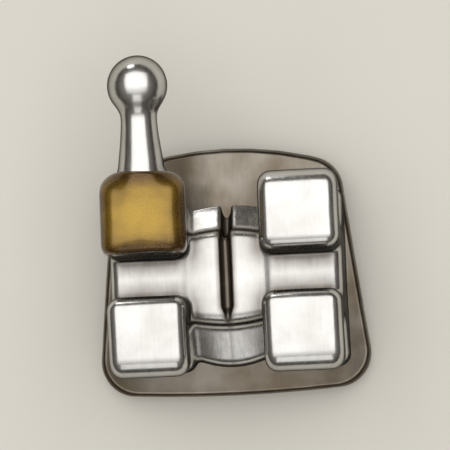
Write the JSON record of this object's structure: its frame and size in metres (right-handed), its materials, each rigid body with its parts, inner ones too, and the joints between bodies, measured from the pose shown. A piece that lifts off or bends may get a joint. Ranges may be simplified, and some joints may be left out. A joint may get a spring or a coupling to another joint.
{
  "type": "orthodontic bracket",
  "caption": "Metal twin bracket for an upper right premolar, with tie wings, archwire slot, gingival ball hook, gold enamel mark and a contoured mesh bonding pad.",
  "frame": {"origin": "middle of the bonding surface, under the middle of the slot floor", "axes": "+X mesial, along the slot; +Y gingival, the way the hook points; +Z away from the tooth"},
  "size_m": [0.0034, 0.0042, 0.0022],
  "materials": {
    "bracket_body": "tumble-polished stainless steel",
    "base_foil": "satin stainless foil, warm from brazing",
    "bonding_mesh": "matt woven stainless wire",
    "identification_mark": "gloss gold enamel"
  },
  "bodies": {
    "root": {"bracket_body": "bracket_body", "base_foil": "base_foil", "bonding_mesh": "bonding_mesh", "identification_mark": "identification_mark"}
  },
  "joints": []
}
